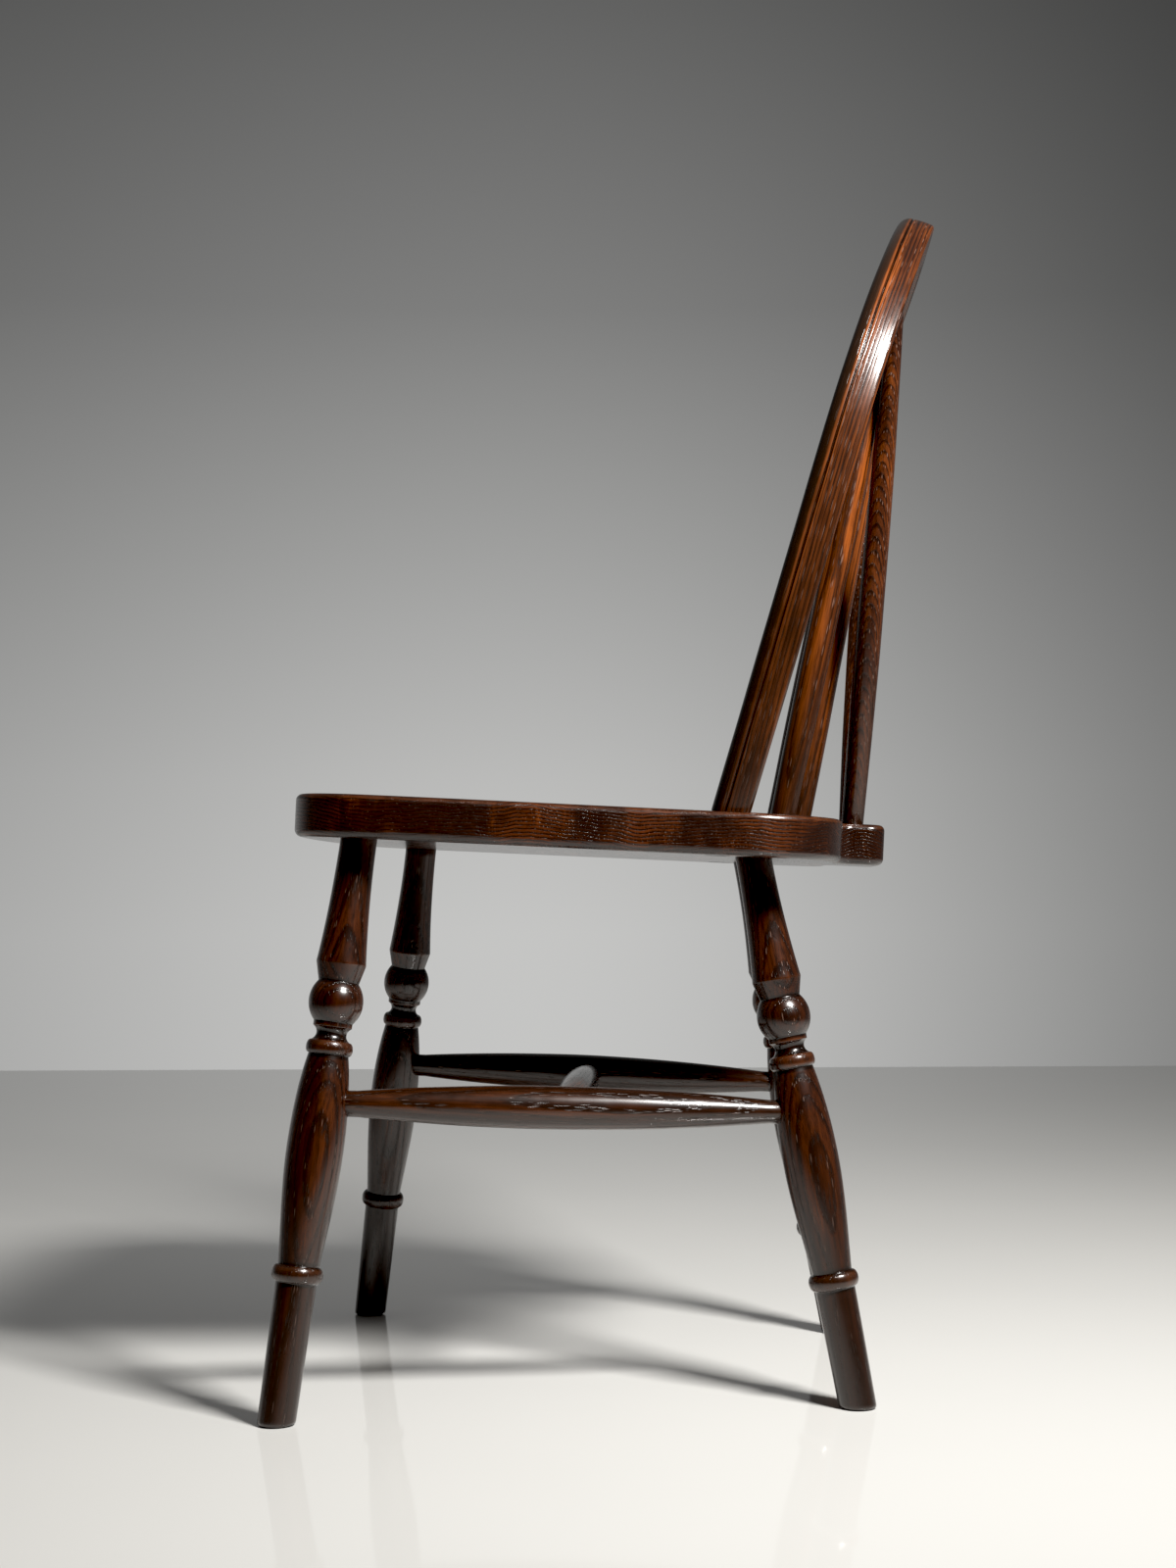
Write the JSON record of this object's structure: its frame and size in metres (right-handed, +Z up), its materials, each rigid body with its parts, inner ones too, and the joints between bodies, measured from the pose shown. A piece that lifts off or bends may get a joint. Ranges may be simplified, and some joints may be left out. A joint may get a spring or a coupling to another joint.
{
  "type": "windsor chair",
  "caption": "Hoop-back Windsor side chair in dark oak, with turned legs, an H stretcher, round back sticks and a bobtail seat with bracing sticks.",
  "frame": {"origin": "on the floor, under the middle of the chair's bounding box", "axes": "+Z up, +Y towards the back of the chair, +X to the right as seen from the front"},
  "size_m": [0.4548, 0.4908, 0.8875],
  "materials": {
    "dark_oak": "glossy dark stain"
  },
  "bodies": {
    "root": {"seat": "dark_oak", "bow": "dark_oak", "bow_wedge_left": "dark_oak", "bow_wedge_right": "dark_oak", "leg_front_left": "dark_oak", "leg_front_right": "dark_oak", "leg_rear_left": "dark_oak", "leg_rear_right": "dark_oak", "side_stretcher_left": "dark_oak", "side_stretcher_right": "dark_oak", "cross_stretcher": "dark_oak", "stick_inner_left": "dark_oak", "stick_inner_right": "dark_oak", "stick_outer_left": "dark_oak", "stick_outer_right": "dark_oak", "brace_left": "dark_oak", "brace_right": "dark_oak"}
  },
  "joints": []
}
